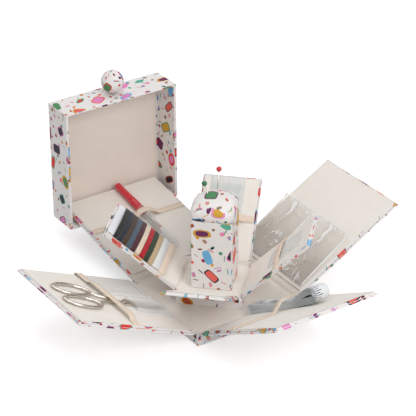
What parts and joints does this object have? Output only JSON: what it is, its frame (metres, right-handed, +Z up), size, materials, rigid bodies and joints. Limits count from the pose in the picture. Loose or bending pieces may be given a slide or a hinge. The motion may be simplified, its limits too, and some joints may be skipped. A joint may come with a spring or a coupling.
{
  "type": "fold-out sewing box",
  "caption": "Square cloth-covered sewing box whose hinged walls fold out round a pincushion tower, with a lid standing on the back wall and sewing notions held under elastic bands.",
  "frame": {"origin": "centre of the base board's underside", "axes": "+Z up, -Y the front wall, +Y the back wall that carries the lid, +X the right wall with the film pockets"},
  "size_m": [0.3757, 0.3918, 0.1821],
  "materials": {
    "print_cloth": "printed cotton over card",
    "lining": "padded plain cotton",
    "lid_lining": "plain cotton over card",
    "elastic": "woven elastic",
    "steel": "nickel plated",
    "clear_film": "clear film",
    "tape_cloth": "coated tape",
    "red_plastic": "moulded",
    "thread": "polyester thread",
    "white_card": "coated card",
    "white_plastic": "moulded",
    "red_glass": "glass bead",
    "green_glass": "glass bead"
  },
  "bodies": {
    "base": {"base_board": "print_cloth", "base_lining": "lining", "outer_cloth_folds": "print_cloth", "inner_plinth": "print_cloth", "inner_floor_lining": "lining", "inner_cloth_folds": "print_cloth", "tower_box": "print_cloth", "pincushion": "print_cloth"},
    "back_wall": {"back_wall_board": "print_cloth", "back_wall_pad": "lining", "back_elastic": "elastic", "ripper_handle": "red_plastic", "ripper_fork": "steel", "ripper_bead": "red_plastic"},
    "front_wall": {"front_wall_board": "print_cloth", "front_wall_pad": "lining", "front_elastic": "elastic"},
    "left_wall": {"left_wall_board": "print_cloth", "left_wall_pad": "lining", "left_elastic": "elastic", "scissors_sleeve": "clear_film", "zip_bag": "clear_film"},
    "right_wall": {"right_wall_board": "print_cloth", "right_wall_pad": "lining", "pocket_near": "clear_film", "pocket_far": "clear_film"},
    "inner_front_wall": {"inner_front_wall_board": "print_cloth", "inner_front_wall_pad": "lining"},
    "inner_left_wall": {"inner_left_wall_board": "print_cloth", "inner_left_wall_pad": "lining", "inner_left_elastic": "elastic"},
    "inner_right_wall": {"inner_right_wall_board": "print_cloth", "inner_right_wall_pad": "lining", "inner_right_elastic": "elastic"},
    "inner_back_wall": {"inner_back_wall_board": "print_cloth", "inner_back_wall_pad": "lining", "inner_back_elastic": "elastic"},
    "lid": {"lid_cloth_fold": "print_cloth", "lid_tray": "print_cloth", "lid_lining": "lid_lining", "knob_neck": "steel", "lid_knob": "print_cloth", "knob_screw": "steel"},
    "scissors": {"scissors_lower_half": "steel", "scissors_screw": "steel"},
    "scissors_upper": {"scissors_upper_half": "steel"},
    "tape": {"tape_measure": "tape_cloth"},
    "ripper_cap": {"ripper_cap": "clear_film"},
    "thread_card": {"thread_card": "white_card", "thread_bands": "thread"},
    "snap_bag": {"snap_bag": "clear_film", "snap_fasteners": "white_plastic"},
    "needle_packet": {"needle_packet": "clear_film"},
    "red_pin": {"red_pin": "red_glass"},
    "green_pin": {"green_pin": "green_glass"}
  },
  "joints": [
    {"name": "back_fold", "type": "hinge", "parent": "base", "child": "back_wall", "pos_m": [0, 0.061, 0.011], "axis": [1, 0, 0], "range_deg": [0, 81]},
    {"name": "front_fold", "type": "hinge", "parent": "base", "child": "front_wall", "pos_m": [0, -0.061, 0.011], "axis": [-1, 0, 0], "range_deg": [0, 60.51]},
    {"name": "left_fold", "type": "hinge", "parent": "base", "child": "left_wall", "pos_m": [-0.061, 0, 0.011], "axis": [0, 1, 0], "range_deg": [0, 65.81]},
    {"name": "right_fold", "type": "hinge", "parent": "base", "child": "right_wall", "pos_m": [0.061, 0, 0.011], "axis": [0, -1, 0], "range_deg": [0, 61.21]},
    {"name": "inner_front_fold", "type": "hinge", "parent": "base", "child": "inner_front_wall", "pos_m": [-0.02334, -0.02334, 0.0245], "axis": [-0.7071, 0.7071, 0], "range_deg": [0, 59.31]},
    {"name": "inner_left_fold", "type": "hinge", "parent": "base", "child": "inner_left_wall", "pos_m": [-0.02334, 0.02334, 0.0245], "axis": [0.7071, 0.7071, 0], "range_deg": [0, 52.01]},
    {"name": "inner_right_fold", "type": "hinge", "parent": "base", "child": "inner_right_wall", "pos_m": [0.02334, -0.02334, 0.0245], "axis": [-0.7071, -0.7071, 0], "range_deg": [0, 45.01]},
    {"name": "inner_back_fold", "type": "hinge", "parent": "base", "child": "inner_back_wall", "pos_m": [0.02334, 0.02334, 0.0245], "axis": [0.7071, -0.7071, 0], "range_deg": [0, 48.01]},
    {"name": "lid_turn", "type": "hinge", "parent": "back_wall", "child": "lid", "pos_m": [0, 0.16927, 0.02739], "axis": [1, 0, 0], "range_deg": [-81.01, 0]},
    {"name": "scissors_draw", "type": "slide", "parent": "left_wall", "child": "scissors", "axis": [-0.9061, 0.1149, 0.4072], "range_m": [0, 0.06]},
    {"name": "scissors_open", "type": "hinge", "parent": "scissors", "child": "scissors_upper", "pos_m": [-0.11177, -0.008, 0.03952], "axis": [0.4099, 0, 0.9121], "range_deg": [0, 16]},
    {"name": "tape_draw", "type": "slide", "parent": "front_wall", "child": "tape", "axis": [0.2181, -0.8494, 0.4806], "range_m": [0, 0.06]},
    {"name": "cap_pull", "type": "slide", "parent": "back_wall", "child": "ripper_cap", "axis": [0, -0.9877, -0.1564], "range_m": [0, 0.016]},
    {"name": "card_draw", "type": "slide", "parent": "inner_left_wall", "child": "thread_card", "axis": [-0.5572, 0.5572, 0.6157], "range_m": [0, 0.07]},
    {"name": "snap_bag_draw", "type": "slide", "parent": "inner_back_wall", "child": "snap_bag", "axis": [0.5255, 0.5255, 0.6691], "range_m": [0, 0.05]},
    {"name": "needle_draw", "type": "slide", "parent": "inner_right_wall", "child": "needle_packet", "axis": [0.5, -0.5, 0.7071], "range_m": [0, 0.05]},
    {"name": "red_pin_pull", "type": "slide", "parent": "base", "child": "red_pin", "axis": [0.0565, -0.0282, 0.998], "range_m": [0, 0.015]},
    {"name": "green_pin_pull", "type": "slide", "parent": "base", "child": "green_pin", "axis": [-0.1939, 0.2608, 0.9457], "range_m": [0, 0.018]}
  ],
  "couplings": [
    {"joint": "front_fold", "follows": "back_fold", "ratio": 0.74691},
    {"joint": "left_fold", "follows": "back_fold", "ratio": 0.81235},
    {"joint": "right_fold", "follows": "back_fold", "ratio": 0.75556},
    {"joint": "inner_front_fold", "follows": "back_fold", "ratio": 0.7321},
    {"joint": "inner_left_fold", "follows": "back_fold", "ratio": 0.64198},
    {"joint": "inner_right_fold", "follows": "back_fold", "ratio": 0.55556},
    {"joint": "inner_back_fold", "follows": "back_fold", "ratio": 0.59259},
    {"joint": "lid_turn", "follows": "back_fold", "ratio": -1}
  ]
}
